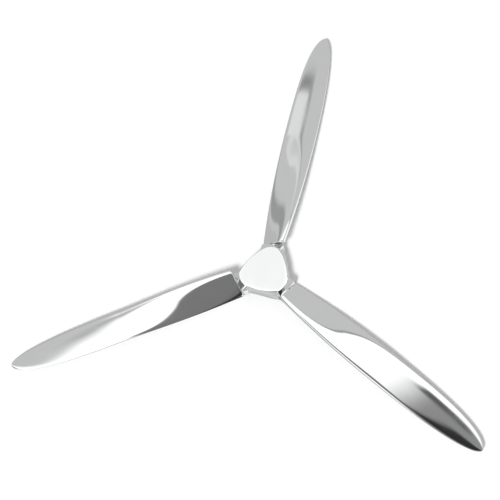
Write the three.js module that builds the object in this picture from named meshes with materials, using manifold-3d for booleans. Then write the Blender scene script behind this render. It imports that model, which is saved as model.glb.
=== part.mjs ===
// Three-blade polished aluminium propeller on a wall spindle.
// Millimetres. +Z is the propeller axis, pointing to the front. z = 0 is the flat back of the wall plate,
// and blade_1 lies along +Y. The rotor turns about Z on two bushes.

import * as THREE from "three";
import { mergeVertices } from "three/addons/utils/BufferGeometryUtils.js";
import Module from "manifold-3d";

const wasm = await Module();
wasm.setup();

// ---------- driving dimensions ----------
const TIP_RADIUS = 350;
const BLADE_COUNT = 3;
const HUB_FACE_Z = 21;
const GAP = 0.3; // between pieces that rest on each other

// Blade planform: chord grows from the root to its widest station, then closes in a rounded tip.
const BLADE_PLANE_Z = HUB_FACE_Z - 7.9; // height of the root section's middle
const BLADE_START_Y = 30;
const PLANFORM_START_Y = 34;
const CHORD_MAX = 43;
const CHORD_ROOT_RATIO = 0.85;
const WIDEST_AT = 0.4; // fraction of the way from the planform start to the tip
const TIP_EXPONENT = 3.5;
const TIP_SWEEP = 2.6; // how far the outer blade leans to the trailing side
const TIP_DROOP = 6; // how far the outer blade sits behind the root
const TIP_CUT = 0.35; // the loft stops this far short of the tip, where the chord is a few millimetres
const TIP_THICKNESS_SHARE = 0.3; // of the thickness that is left where the chord runs out
const HALFWAY_STATION = 0.62; // the first half of the stations covers this much of the length
// Blade twist: pitch falls from the root to nothing at the washout radius.
const PITCH_ROOT = THREE.MathUtils.degToRad(37);
const WASHOUT_RADIUS = 198;
const PITCH_EXPONENT = 1.5;
// Blade section: a flattened oval, thick at the leading edge (+X on blade_1), thin at the trailing edge.
const THICKNESS_ROOT = 9;
const THICKNESS_TIP = 4;
const SECTION_SQUARENESS = 2.7;
const SECTION_TAPER = 0.35; // how much thicker the leading edge is
const SECTION_POINTS = 24;
const BLADE_STATIONS = 30;

// Hub outlines are rounded triangles: radius = mean * (1 + lobe * cos 3a + corner * cos 6a).
const HUB_TWIST = THREE.MathUtils.degToRad(84); // direction of the lobe that carries blade_1
const FACE_OUTLINE = { mean: 29.9, lobe: 0.109, corner: 0.015 };
const WALL_OUTLINE = { mean: 32.5, lobe: 0.177, corner: 0.02 }; // without the blade seats
const HOLLOW_OUTLINE = { mean: 28.4, lobe: 0.162, corner: 0.015 };
const CAP_POCKET_OUTLINE = { mean: 24, lobe: 0.1, corner: 0.01 };
const OUTLINE_POINTS = 120;

const CAP_BOTTOM_Z = 16.6;
const CAP_EDGE_BREAK = 0.4;
const CAP_POCKET_TOP_Z = 18.8;
const BODY_BACK_Z = 1;
const BODY_TOP_Z = CAP_BOTTOM_Z - GAP;

// Blade seats: each lobe ends in a flat, squared-off seat that a blade root bolts against.
const SEAT_Y = 38.8; // on the blade axis
const SEAT_SLOPE = Math.tan(THREE.MathUtils.degToRad(8.5)); // the seat runs further out on the leading side
const SEAT_HALF_WIDTH = 13.8;
const SEAT_INNER_Y = 31.5; // where the nut bears, inside the hollow

// Blade fixing: a stud, washer and nut on the blade axis, and a dowel that sets the pitch.
const STUD_Z = BLADE_PLANE_Z - 1;
const STUD_RADIUS = 2.5;
const STUD_HOLE_RADIUS = STUD_RADIUS + GAP;
const STUD_INNER_Y = 25.2;
const STUD_OUTER_Y = 56;
const FIX_WASHER_RADIUS = 4.3;
const FIX_WASHER_THICKNESS = 1;
const FIX_NUT_FLATS = 8;
const FIX_NUT_HEIGHT = 4;
const DOWEL_RADIUS = 1.5;
const DOWEL_HOLE_RADIUS = DOWEL_RADIUS + 0.2;
const DOWEL_X = -7;
const DOWEL_Z = BLADE_PLANE_Z - 5;
const DOWEL_INNER_Y = 33;
const DOWEL_OUTER_Y = 44;

// Centre boss, webs and cover screws.
const BOSS_RADIUS = 10.5;
const BOSS_BOTTOM_Z = 6.6;
const BOSS_TOP_Z = 12.7;
const BOSS_BORE_RADIUS = 7.2;
const WEB_WIDTH = 5;
const WEB_BOTTOM_Z = 7;
const WEB_INNER_RADIUS = BOSS_BORE_RADIUS + 1;
const WEB_OUTER_RADIUS = WALL_OUTLINE.mean - 7; // ends inside the flank wall
const TOWER_DISTANCE = 18.5;
const TOWER_RADIUS = 4.2;
const TOWER_BOTTOM_Z = 5.5;
const COVER_SCREW_RADIUS = 1.5;
const COVER_SCREW_HOLE_RADIUS = COVER_SCREW_RADIUS + 0.25;
const COVER_SCREW_HEAD_RADIUS = 2.9;
const COVER_SCREW_HEAD_HEIGHT = 1.7;
const COVER_SCREW_SOCKET_FLATS = 2.4;
const COVER_SCREW_SOCKET_DEPTH = 1.1;
const COVER_SCREW_TIP_Z = 18.9;
const COVER_SCREW_HOLE_TOP_Z = 19.3;

// Wall plate and spindle.
const PLATE_RADIUS = 17;
const PLATE_THICKNESS = 3;
const PLATE_HOLE_DISTANCE = 12.2;
const PLATE_HOLE_RADIUS = 1.9;
const PLATE_SINK_RADIUS = 3.4;
const PLATE_SINK_DEPTH = 1.6;
const PLATE_POINTS = 51;
const TAIL_BORE_BOTTOM_Z = 1.2; // the plate's back is solid behind the spindle
const SPINDLE_RADIUS = 5;
const SPINDLE_TAIL_RADIUS = 4;
const SPINDLE_FLANGE_RADIUS = 8.2;
const SPINDLE_FLANGE_TOP_Z = 4.6;
const SPINDLE_SHOULDER_Z = 13.75;
const SPINDLE_THREAD_RADIUS = 4;
const SPINDLE_END_Z = 18.4;
const RUNNING_GAP = 0.2; // radial room between spindle and bushes, and between turning faces
const BUSH_OUTER_RADIUS = BOSS_BORE_RADIUS - RUNNING_GAP;
const BUSH_FLANGE_RADIUS = 8.5;
const BUSH_FLANGE_THICKNESS = 0.8;
const BUSH_LENGTH = 3.8;
const THRUST_WASHER_THICKNESS = 0.6;
const SPINDLE_WASHER_RADIUS = 8;
const SPINDLE_WASHER_THICKNESS = 0.8;
const SPINDLE_NUT_FLATS = 13;
const SPINDLE_NUT_HEIGHT = 3.1;
const EDGE_BREAK = 0.3;

const ROUND_POINTS = 32;
const SMALL_ROUND_POINTS = 20;
const BEYOND = 60; // a length that surely clears the piece being cut
const PAST = 1; // how far a cutting shape runs past the face it opens

// ---------- solid helpers ----------
function toManifold(geometry) {
  const bare = geometry.clone();
  bare.deleteAttribute("normal");
  bare.deleteAttribute("uv");
  const merged = mergeVertices(bare, 1e-4);
  return new wasm.Manifold(
    new wasm.Mesh({
      numProp: 3,
      vertProperties: new Float32Array(merged.attributes.position.array),
      triVerts: new Uint32Array(merged.index.array),
    }),
  );
}

function toGeometry(solid) {
  const mesh = solid.getMesh();
  const geometry = new THREE.BufferGeometry();
  geometry.setAttribute("position", new THREE.BufferAttribute(new Float32Array(mesh.vertProperties), 3));
  geometry.setIndex(new THREE.BufferAttribute(new Uint32Array(mesh.triVerts), 1));
  return geometry;
}

// Closed solid through a list of rings, which all have the same number of points, anticlockwise from the end.
function loftRings(rings) {
  const count = rings[0].length;
  const positions = [];
  const indices = [];
  for (const ring of rings) {
    for (const p of ring) {
      positions.push(p.x, p.y, p.z);
    }
  }
  for (let r = 0; r < rings.length - 1; r += 1) {
    for (let i = 0; i < count; i += 1) {
      const next = (i + 1) % count;
      const a = r * count + i;
      const b = r * count + next;
      indices.push(a, b, b + count, a, b + count, a + count);
    }
  }
  addCap(positions, indices, rings[0], 0, false);
  addCap(positions, indices, rings[rings.length - 1], (rings.length - 1) * count, true);
  const geometry = new THREE.BufferGeometry();
  geometry.setAttribute("position", new THREE.BufferAttribute(new Float32Array(positions), 3));
  geometry.setIndex(indices);
  return toManifold(geometry);
}

function addCap(positions, indices, ring, first, facesEnd) {
  const centre = new THREE.Vector3();
  for (const p of ring) {
    centre.add(p);
  }
  centre.divideScalar(ring.length);
  const hub = positions.length / 3;
  positions.push(centre.x, centre.y, centre.z);
  for (let i = 0; i < ring.length; i += 1) {
    const a = first + i;
    const b = first + ((i + 1) % ring.length);
    if (facesEnd) {
      indices.push(hub, a, b);
    } else {
      indices.push(hub, b, a);
    }
  }
}

function cylinderZ(radius, bottom, top, points = ROUND_POINTS) {
  const geometry = new THREE.CylinderGeometry(radius, radius, top - bottom, points);
  geometry.rotateX(Math.PI / 2);
  geometry.translate(0, 0, (top + bottom) / 2);
  return toManifold(geometry);
}

function cylinderY(radius, inner, outer, x, z, points = ROUND_POINTS) {
  const geometry = new THREE.CylinderGeometry(radius, radius, outer - inner, points);
  geometry.translate(x, (outer + inner) / 2, z);
  return toManifold(geometry);
}

function boxBetween(x0, x1, y0, y1, z0, z1) {
  const geometry = new THREE.BoxGeometry(x1 - x0, y1 - y0, z1 - z0);
  geometry.translate((x0 + x1) / 2, (y0 + y1) / 2, (z0 + z1) / 2);
  return toManifold(geometry);
}

// Ring turned about Z from a closed profile of [radius, z] corners.
function turned(profile, count = ROUND_POINTS) {
  const points = profile.map(([r, z]) => new THREE.Vector2(r, z));
  points.push(points[0].clone());
  const geometry = new THREE.LatheGeometry(points, count);
  geometry.rotateX(Math.PI / 2);
  return toManifold(geometry);
}

function hexagonZ(flats, bottom, top) {
  const radius = flats / 2 / Math.cos(Math.PI / 6);
  return cylinderZ(radius, bottom, top, 6);
}

function bladeAngle(index) {
  return (index * 2 * Math.PI) / BLADE_COUNT;
}

function turnedToBlade(solid, index) {
  return solid.rotate([0, 0, THREE.MathUtils.radToDeg(bladeAngle(index))]);
}

// ---------- hub ----------
function outlineRadius(outline, direction) {
  const a = direction - HUB_TWIST;
  return outline.mean * (1 + outline.lobe * Math.cos(3 * a) + outline.corner * Math.cos(6 * a));
}

// Distance to the squared-off seat of the nearest blade, whose axis is at `lean` from this direction.
function seatRadius(direction) {
  const sector = (2 * Math.PI) / BLADE_COUNT;
  const turns = Math.round((Math.PI / 2 - direction) / sector);
  const lean = Math.PI / 2 - direction - turns * sector;
  const toEnd = SEAT_Y / (Math.cos(lean) - SEAT_SLOPE * Math.sin(lean));
  const toSide = Math.abs(SEAT_HALF_WIDTH / Math.sin(lean));
  return Math.min(toEnd, toSide);
}

function ringOf(radiusAt, z) {
  const ring = [];
  for (let i = 0; i < OUTLINE_POINTS; i += 1) {
    const direction = (i / OUTLINE_POINTS) * 2 * Math.PI;
    const radius = radiusAt(direction);
    ring.push(new THREE.Vector3(radius * Math.cos(direction), radius * Math.sin(direction), z));
  }
  return ring;
}

function outlineRing(outline, z, shrink = 0) {
  return ringOf((direction) => outlineRadius(outline, direction) - shrink, z);
}

function wallRing(z) {
  return ringOf((direction) => Math.max(outlineRadius(WALL_OUTLINE, direction), seatRadius(direction)), z);
}

function betweenRings(lower, upper, share) {
  return lower.map((p, i) => p.clone().lerp(upper[i], share));
}

function prism(outline, bottom, top) {
  return loftRings([outlineRing(outline, bottom), outlineRing(outline, top)]);
}

function towerAngle(index) {
  return HUB_TWIST + Math.PI / 3 + bladeAngle(index);
}

function towerPlace(solid, index) {
  const a = towerAngle(index);
  return solid.translate([TOWER_DISTANCE * Math.cos(a), TOWER_DISTANCE * Math.sin(a), 0]);
}

// Everything on the hub side of blade_1's seat, and of the gap that its root keeps from it.
function seatSide() {
  const shape = new THREE.Shape();
  const edge = (x) => SEAT_Y + GAP + x * SEAT_SLOPE;
  shape.moveTo(-BEYOND, -BEYOND);
  shape.lineTo(BEYOND, -BEYOND);
  shape.lineTo(BEYOND, edge(BEYOND));
  shape.lineTo(-BEYOND, edge(-BEYOND));
  shape.closePath();
  const geometry = new THREE.ExtrudeGeometry(shape, { depth: 2 * BEYOND, bevelEnabled: false });
  geometry.translate(0, 0, -BEYOND);
  return toManifold(geometry);
}

// The hollow stops short of each seat, on a flat that the blade nut bears on.
function hubHollow() {
  let hollow = prism(HOLLOW_OUTLINE, BODY_BACK_Z - PAST, BODY_TOP_Z + PAST);
  for (let i = 0; i < BLADE_COUNT; i += 1) {
    const kept = boxBetween(-BEYOND, BEYOND, SEAT_INNER_Y, SEAT_INNER_Y + BEYOND, -BEYOND, BEYOND);
    hollow = hollow.subtract(turnedToBlade(kept, i));
  }
  return hollow;
}

function hubWeb(index) {
  const side = WEB_WIDTH / 2;
  const web = boxBetween(WEB_INNER_RADIUS, WEB_OUTER_RADIUS, -side, side, WEB_BOTTOM_Z, BODY_TOP_Z);
  return web.rotate([0, 0, THREE.MathUtils.radToDeg(towerAngle(index))]);
}

function hubBody() {
  let body = loftRings([wallRing(BODY_BACK_Z), wallRing(BODY_TOP_Z)]);
  body = body.subtract(hubHollow());
  body = body.add(cylinderZ(BOSS_RADIUS, BOSS_BOTTOM_Z, BOSS_TOP_Z));
  for (let i = 0; i < BLADE_COUNT; i += 1) {
    body = body.add(hubWeb(i));
    body = body.add(towerPlace(cylinderZ(TOWER_RADIUS, TOWER_BOTTOM_Z, BODY_TOP_Z), i));
  }
  body = body.subtract(cylinderZ(BUSH_FLANGE_RADIUS + GAP, BOSS_TOP_Z, BODY_TOP_Z + PAST));
  body = body.subtract(cylinderZ(BOSS_BORE_RADIUS, 0, BODY_TOP_Z));
  const screwHole = cylinderZ(COVER_SCREW_HOLE_RADIUS, 0, HUB_FACE_Z, SMALL_ROUND_POINTS);
  const studHole = cylinderY(STUD_HOLE_RADIUS, STUD_INNER_Y - GAP, BEYOND, 0, STUD_Z);
  const dowelHole = dowelBar(DOWEL_HOLE_RADIUS, DOWEL_INNER_Y - GAP, BEYOND);
  for (let i = 0; i < BLADE_COUNT; i += 1) {
    body = body.subtract(towerPlace(screwHole, i));
    body = body.subtract(turnedToBlade(studHole, i));
    body = body.subtract(turnedToBlade(dowelHole, i));
  }
  return body;
}

function hubCap() {
  const foot = wallRing(CAP_BOTTOM_Z);
  const rim = outlineRing(FACE_OUTLINE, HUB_FACE_Z);
  const shoulder = betweenRings(foot, rim, 1 - CAP_EDGE_BREAK / (HUB_FACE_Z - CAP_BOTTOM_Z));
  const face = outlineRing(FACE_OUTLINE, HUB_FACE_Z, CAP_EDGE_BREAK);
  let cap = loftRings([foot, shoulder, face]);
  let pocket = prism(CAP_POCKET_OUTLINE, CAP_BOTTOM_Z - PAST, CAP_POCKET_TOP_Z);
  for (let i = 0; i < BLADE_COUNT; i += 1) {
    pocket = pocket.subtract(towerPlace(cylinderZ(TOWER_RADIUS, 0, HUB_FACE_Z), i));
  }
  cap = cap.subtract(pocket);
  const screwHole = cylinderZ(COVER_SCREW_HOLE_RADIUS, 0, COVER_SCREW_HOLE_TOP_Z, SMALL_ROUND_POINTS);
  for (let i = 0; i < BLADE_COUNT; i += 1) {
    cap = cap.subtract(towerPlace(screwHole, i));
  }
  return cap;
}

function coverScrew(index) {
  const underHead = TOWER_BOTTOM_Z - GAP;
  const headBack = underHead - COVER_SCREW_HEAD_HEIGHT;
  const screw = turned([
    [0, headBack],
    [COVER_SCREW_HEAD_RADIUS - EDGE_BREAK, headBack],
    [COVER_SCREW_HEAD_RADIUS, headBack + EDGE_BREAK],
    [COVER_SCREW_HEAD_RADIUS, underHead],
    [COVER_SCREW_RADIUS, underHead],
    [COVER_SCREW_RADIUS, COVER_SCREW_TIP_Z],
    [0, COVER_SCREW_TIP_Z],
  ]);
  const socket = hexagonZ(COVER_SCREW_SOCKET_FLATS, headBack - PAST, headBack + COVER_SCREW_SOCKET_DEPTH);
  return towerPlace(screw.subtract(socket), index);
}

// ---------- blades ----------
function bladeStation(y) {
  const u = (y - PLANFORM_START_Y) / (TIP_RADIUS - PLANFORM_START_Y);
  const inward = Math.max(0, (WIDEST_AT - u) / WIDEST_AT);
  const outward = Math.max(0, (u - WIDEST_AT) / (1 - WIDEST_AT));
  const rooted = 1 - (1 - CHORD_ROOT_RATIO) * inward * inward;
  const tipped = Math.sqrt(1 - outward ** TIP_EXPONENT);
  const washout = THREE.MathUtils.clamp((y - PLANFORM_START_Y) / (WASHOUT_RADIUS - PLANFORM_START_Y), 0, 1);
  const span = THREE.MathUtils.clamp(u, 0, 1);
  return {
    y,
    chord: CHORD_MAX * rooted * tipped,
    thickness:
      THREE.MathUtils.lerp(THICKNESS_ROOT, THICKNESS_TIP, span) *
      THREE.MathUtils.lerp(TIP_THICKNESS_SHARE, 1, tipped),
    x: -TIP_SWEEP * span ** 3 * (1 - span ** 8),
    z: BLADE_PLANE_Z - TIP_DROOP * Math.sin((Math.PI / 2) * span) ** 2,
    pitch: PITCH_ROOT * (1 - washout) ** PITCH_EXPONENT,
  };
}

// Section corners in the blade's own plane: s along the chord towards the leading edge, n towards the front.
function sectionPoint(a, station) {
  const round = 2 / SECTION_SQUARENESS;
  const s = Math.sign(Math.cos(a)) * Math.abs(Math.cos(a)) ** round;
  const n = Math.sign(Math.sin(a)) * Math.abs(Math.sin(a)) ** round;
  const taper = 1 + SECTION_TAPER * s;
  return { s: (s * station.chord) / 2, n: (n * taper * station.thickness) / 2 };
}

function bladeRing(station) {
  const ring = [];
  const c = Math.cos(station.pitch);
  const w = Math.sin(station.pitch);
  for (let i = 0; i < SECTION_POINTS; i += 1) {
    const a = (-i / SECTION_POINTS) * 2 * Math.PI;
    const p = sectionPoint(a, station);
    ring.push(new THREE.Vector3(station.x + p.s * c - p.n * w, station.y, station.z + p.s * w + p.n * c));
  }
  return ring;
}

function bladeLoft() {
  const rings = [];
  const length = TIP_RADIUS - TIP_CUT - BLADE_START_Y;
  for (let i = 0; i <= BLADE_STATIONS; i += 1) {
    const t = (2 * i) / BLADE_STATIONS;
    const along = t < 1 ? t * HALFWAY_STATION : 1 - (1 - HALFWAY_STATION) * (2 - t) ** 2; // closer at the tip
    rings.push(bladeRing(bladeStation(BLADE_START_Y + along * length)));
  }
  return loftRings(rings);
}

function dowelBar(radius, inner, outer) {
  return cylinderY(radius, inner, outer, DOWEL_X, DOWEL_Z, SMALL_ROUND_POINTS);
}

function blade(index) {
  let solid = bladeLoft();
  solid = solid.subtract(seatSide());
  solid = solid.subtract(cylinderY(STUD_HOLE_RADIUS, 0, STUD_OUTER_Y + GAP, 0, STUD_Z));
  solid = solid.subtract(dowelBar(DOWEL_HOLE_RADIUS, 0, DOWEL_OUTER_Y + GAP));
  return turnedToBlade(solid, index);
}

function bladeStud(index) {
  return turnedToBlade(cylinderY(STUD_RADIUS, STUD_INNER_Y, STUD_OUTER_Y, 0, STUD_Z), index);
}

function bladeDowel(index) {
  return turnedToBlade(dowelBar(DOWEL_RADIUS, DOWEL_INNER_Y, DOWEL_OUTER_Y), index);
}

function bladeWasher(index) {
  const outer = SEAT_INNER_Y - GAP;
  const disc = cylinderY(FIX_WASHER_RADIUS, outer - FIX_WASHER_THICKNESS, outer, 0, STUD_Z);
  const hole = cylinderY(STUD_HOLE_RADIUS, 0, BEYOND, 0, STUD_Z);
  return turnedToBlade(disc.subtract(hole), index);
}

function bladeNut(index) {
  const outer = SEAT_INNER_Y - GAP - FIX_WASHER_THICKNESS - GAP;
  const corner = FIX_NUT_FLATS / 2 / Math.cos(Math.PI / 6);
  const geometry = new THREE.CylinderGeometry(corner, corner, FIX_NUT_HEIGHT, 6);
  geometry.rotateY(Math.PI / 6); // a flat side faces the cover
  geometry.translate(0, outer - FIX_NUT_HEIGHT / 2, STUD_Z);
  const hole = cylinderY(STUD_HOLE_RADIUS, 0, BEYOND, 0, STUD_Z);
  return turnedToBlade(toManifold(geometry).subtract(hole), index);
}

// ---------- spindle, bushes and wall plate ----------
const REAR_BUSH_BACK_Z = BOSS_BOTTOM_Z - RUNNING_GAP - BUSH_FLANGE_THICKNESS;
const FRONT_BUSH_FRONT_Z = BOSS_TOP_Z + RUNNING_GAP + BUSH_FLANGE_THICKNESS;
const SPINDLE_WASHER_Z = Math.max(FRONT_BUSH_FRONT_Z, SPINDLE_SHOULDER_Z) + RUNNING_GAP;

function bush(flangeFace, direction) {
  const bore = SPINDLE_RADIUS + RUNNING_GAP;
  const flangeInner = flangeFace + direction * BUSH_FLANGE_THICKNESS;
  const end = flangeFace + direction * BUSH_LENGTH;
  const profile = [
    [bore, flangeFace],
    [BUSH_FLANGE_RADIUS, flangeFace],
    [BUSH_FLANGE_RADIUS, flangeInner],
    [BUSH_OUTER_RADIUS, flangeInner],
    [BUSH_OUTER_RADIUS, end],
    [bore, end],
  ];
  return turned(direction > 0 ? profile : profile.reverse());
}

function washer(inner, outer, bottom, thickness) {
  return turned([
    [inner, bottom],
    [outer, bottom],
    [outer, bottom + thickness],
    [inner, bottom + thickness],
  ]);
}

function thrustWasher() {
  const bottom = SPINDLE_FLANGE_TOP_Z + RUNNING_GAP;
  return washer(SPINDLE_RADIUS + RUNNING_GAP, SPINDLE_FLANGE_RADIUS, bottom, THRUST_WASHER_THICKNESS);
}

function spindle() {
  const flangeBottom = PLATE_THICKNESS + GAP;
  return turned([
    [0, TAIL_BORE_BOTTOM_Z + GAP],
    [SPINDLE_TAIL_RADIUS, TAIL_BORE_BOTTOM_Z + GAP],
    [SPINDLE_TAIL_RADIUS, flangeBottom],
    [SPINDLE_FLANGE_RADIUS, flangeBottom],
    [SPINDLE_FLANGE_RADIUS, SPINDLE_FLANGE_TOP_Z],
    [SPINDLE_RADIUS, SPINDLE_FLANGE_TOP_Z],
    [SPINDLE_RADIUS, SPINDLE_SHOULDER_Z],
    [SPINDLE_THREAD_RADIUS, SPINDLE_SHOULDER_Z],
    [SPINDLE_THREAD_RADIUS, SPINDLE_END_Z - EDGE_BREAK],
    [SPINDLE_THREAD_RADIUS - EDGE_BREAK, SPINDLE_END_Z],
    [0, SPINDLE_END_Z],
  ]);
}

function spindleWasher() {
  const bore = SPINDLE_THREAD_RADIUS + GAP;
  return washer(bore, SPINDLE_WASHER_RADIUS, SPINDLE_WASHER_Z, SPINDLE_WASHER_THICKNESS);
}

function spindleNut() {
  const bottom = SPINDLE_WASHER_Z + SPINDLE_WASHER_THICKNESS + RUNNING_GAP;
  const blank = hexagonZ(SPINDLE_NUT_FLATS, bottom, bottom + SPINDLE_NUT_HEIGHT);
  return blank.subtract(cylinderZ(SPINDLE_THREAD_RADIUS + GAP, 0, HUB_FACE_Z));
}

function wallPlate() {
  const outline = [
    [0, -PAST],
    [PLATE_RADIUS, -PAST],
    [PLATE_RADIUS, PLATE_THICKNESS - EDGE_BREAK],
    [PLATE_RADIUS - EDGE_BREAK, PLATE_THICKNESS],
    [SPINDLE_TAIL_RADIUS + GAP, PLATE_THICKNESS],
    [SPINDLE_TAIL_RADIUS + GAP, TAIL_BORE_BOTTOM_Z],
    [0, TAIL_BORE_BOTTOM_Z],
  ];
  let plate = turned(outline, PLATE_POINTS);
  for (let i = 0; i < BLADE_COUNT; i += 1) {
    const hole = turned([
      [0, -2 * PAST],
      [PLATE_HOLE_RADIUS, -2 * PAST],
      [PLATE_HOLE_RADIUS, PLATE_THICKNESS - PLATE_SINK_DEPTH],
      [PLATE_SINK_RADIUS, PLATE_THICKNESS],
      [PLATE_SINK_RADIUS, PLATE_THICKNESS + PAST],
      [0, PLATE_THICKNESS + PAST],
    ]);
    const a = bladeAngle(i) + Math.PI / 2;
    const place = [PLATE_HOLE_DISTANCE * Math.cos(a), PLATE_HOLE_DISTANCE * Math.sin(a), 0];
    plate = plate.subtract(hole.translate(place));
  }
  return plate.trimByPlane([0, 0, 1], 0); // the back is faced flat
}

// ---------- materials ----------
function polishedAluminium() {
  return new THREE.MeshStandardMaterial({ color: 0xd6d8da, roughness: 0.12, metalness: 1 });
}

function castAluminium() {
  return new THREE.MeshStandardMaterial({ color: 0xc2c5c8, roughness: 0.25, metalness: 1 });
}

function zincSteel() {
  return new THREE.MeshStandardMaterial({ color: 0xa9adb2, roughness: 0.35, metalness: 1 });
}

function turnedSteel() {
  return new THREE.MeshStandardMaterial({ color: 0x8d9196, roughness: 0.3, metalness: 1 });
}

function bronze() {
  return new THREE.MeshStandardMaterial({ color: 0xb58a4a, roughness: 0.4, metalness: 1 });
}

function darkPowderCoat() {
  return new THREE.MeshStandardMaterial({ color: 0x2b2d30, roughness: 0.6, metalness: 0.1 });
}

function blackNylon() {
  return new THREE.MeshStandardMaterial({ color: 0x1c1c1e, roughness: 0.55, metalness: 0 });
}

// ---------- assembly ----------
const propeller = new THREE.Group();
propeller.name = "propeller";

function addPiece(name, solid, material) {
  const mesh = new THREE.Mesh(toGeometry(solid), material);
  mesh.name = name;
  propeller.add(mesh);
}

addPiece("wall_plate", wallPlate(), darkPowderCoat());
addPiece("spindle", spindle(), turnedSteel());
addPiece("thrust_washer", thrustWasher(), blackNylon());
addPiece("spindle_washer", spindleWasher(), zincSteel());
addPiece("spindle_nut", spindleNut(), zincSteel());
addPiece("hub_body", hubBody(), castAluminium());
addPiece("hub_cap", hubCap(), polishedAluminium());
addPiece("bush_rear", bush(REAR_BUSH_BACK_Z, 1), bronze());
addPiece("bush_front", bush(FRONT_BUSH_FRONT_Z, -1), bronze());
for (let i = 0; i < BLADE_COUNT; i += 1) {
  const number = i + 1;
  addPiece(`blade_${number}`, blade(i), polishedAluminium());
  addPiece(`blade_stud_${number}`, bladeStud(i), zincSteel());
  addPiece(`blade_dowel_${number}`, bladeDowel(i), turnedSteel());
  addPiece(`blade_washer_${number}`, bladeWasher(i), zincSteel());
  addPiece(`blade_nut_${number}`, bladeNut(i), zincSteel());
  addPiece(`cover_screw_${number}`, coverScrew(i), zincSteel());
}

export default propeller;
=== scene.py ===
"""A polished three-blade wall propeller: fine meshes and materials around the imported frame.

Metres, in the frame's own axes: +Z is the propeller axis to the front, blade_1 lies along +Y and
the wall is z = 0.
"""

import math

import bmesh
import bpy
from mathutils import Matrix, Vector


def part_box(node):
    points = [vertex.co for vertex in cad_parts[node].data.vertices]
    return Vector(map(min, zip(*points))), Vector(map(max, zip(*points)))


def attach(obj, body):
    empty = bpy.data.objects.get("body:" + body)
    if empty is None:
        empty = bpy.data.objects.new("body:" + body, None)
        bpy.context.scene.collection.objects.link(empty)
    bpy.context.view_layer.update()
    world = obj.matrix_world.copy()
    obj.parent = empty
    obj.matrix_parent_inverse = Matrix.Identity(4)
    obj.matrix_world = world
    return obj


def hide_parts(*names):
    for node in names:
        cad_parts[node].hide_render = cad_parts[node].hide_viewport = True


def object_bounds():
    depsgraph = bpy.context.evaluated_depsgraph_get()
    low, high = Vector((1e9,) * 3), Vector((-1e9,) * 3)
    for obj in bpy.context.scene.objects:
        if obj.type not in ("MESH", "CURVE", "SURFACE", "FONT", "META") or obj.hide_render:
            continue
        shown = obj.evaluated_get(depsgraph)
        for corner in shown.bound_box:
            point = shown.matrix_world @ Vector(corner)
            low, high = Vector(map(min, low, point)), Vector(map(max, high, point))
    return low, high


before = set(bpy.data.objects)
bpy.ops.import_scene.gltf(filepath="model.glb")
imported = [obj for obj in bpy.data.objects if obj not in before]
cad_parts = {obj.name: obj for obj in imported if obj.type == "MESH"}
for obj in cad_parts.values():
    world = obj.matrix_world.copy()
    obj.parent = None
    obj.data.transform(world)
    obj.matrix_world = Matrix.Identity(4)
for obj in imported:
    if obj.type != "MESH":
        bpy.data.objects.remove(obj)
CAD_LOW, CAD_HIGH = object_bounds()

MM = 0.001
BLADES = 3
SECTOR = 2 * math.pi / BLADES

# ---------- places taken from the frame ----------
CAP_LOW, CAP_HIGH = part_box("hub_cap")
BODY_LOW, BODY_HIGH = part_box("hub_body")
STUD_LOW, STUD_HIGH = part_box("blade_stud_1")
DOWEL_LOW, DOWEL_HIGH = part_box("blade_dowel_1")
TIP_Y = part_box("blade_1")[1].y
FACE_Z = CAP_HIGH.z
BLADE_DEPTH = 7.9 * MM
PLANE_Z = FACE_Z - BLADE_DEPTH  # height of the blade root's middle

# ---------- blade shape ----------
PLANFORM_START_Y = 34 * MM
CHORD_MAX = 43 * MM
CHORD_ROOT_RATIO = 0.85
WIDEST_AT = 0.4
TIP_EXPONENT = 3.5
TIP_SWEEP = 2.6 * MM
TIP_DROOP = 6 * MM
PITCH_ROOT = math.radians(37)
WASHOUT_Y = 198 * MM
PITCH_EXPONENT = 1.5
THICKNESS_ROOT = 8.8 * MM
THICKNESS_TIP = 4 * MM
TIP_THICKNESS_SHARE = 0.3
SECTION_SPACING = 2.7  # crowds the section's points towards its two edges
SQUARENESS_ROOT = 2.7
SQUARENESS_TIP = 2.3
SECTION_TAPER = 0.35
SECTION_POINTS = 96
BLADE_STATIONS = 150
CROWD_FROM = 0.6  # share of the stations after which they crowd towards the tip
SQUARE_AFTER = 30 * MM  # past this the stations no longer lean like the seat
THINNEST = 0.05 * MM
ROOT_FILLET = 1.1 * MM
ROOT_EDGE_STEPS = 6

# ---------- holes ----------
HOLE_ROOM = 0.3 * MM
STUD_HOLE_RADIUS = 2.8 * MM
DOWEL_HOLE_RADIUS = 1.7 * MM
COVER_SCREW_HOLE_RADIUS = 1.75 * MM
PAST = 60 * MM  # a cutting rod's far end, well outside the hub

# ---------- hub shape ----------
HUB_TWIST = math.radians(84)
FACE_OUTLINE = (29.9 * MM, 0.109, 0.015)
WALL_OUTLINE = (32.5 * MM, 0.177, 0.02)
HOLLOW_OUTLINE = (28.4 * MM, 0.162, 0.015)
POCKET_OUTLINE = (24 * MM, 0.1, 0.01)
SEAT_Y = 38.8 * MM
SEAT_SLOPE = math.tan(math.radians(8.5))
SEAT_HALF_WIDTH = 13.8 * MM
SEAT_GAP = 0.3 * MM
SEAT_INNER_Y = 31.5 * MM
POCKET_TOP_Z = FACE_Z - 2.2 * MM
OUTLINE_POINTS = 480
CORNER_SOFTNESS = 3  # outline points averaged each side of a corner
LIP = 0.8 * MM
POLISH_DEPTH = 1.5 * LIP  # how far in from the outer wall the hub body is polished
FACE_ROUNDING = 1.1 * MM
FACE_CROWN = 0.12 * MM
TOWER_DISTANCE = 18.5 * MM
TOWER_RADIUS = 4.2 * MM
TOWER_BOTTOM_Z = 5.5 * MM
BOSS_RADIUS = 10.5 * MM
BOSS_BOTTOM_Z = 6.6 * MM
BOSS_TOP_Z = 12.7 * MM
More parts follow.
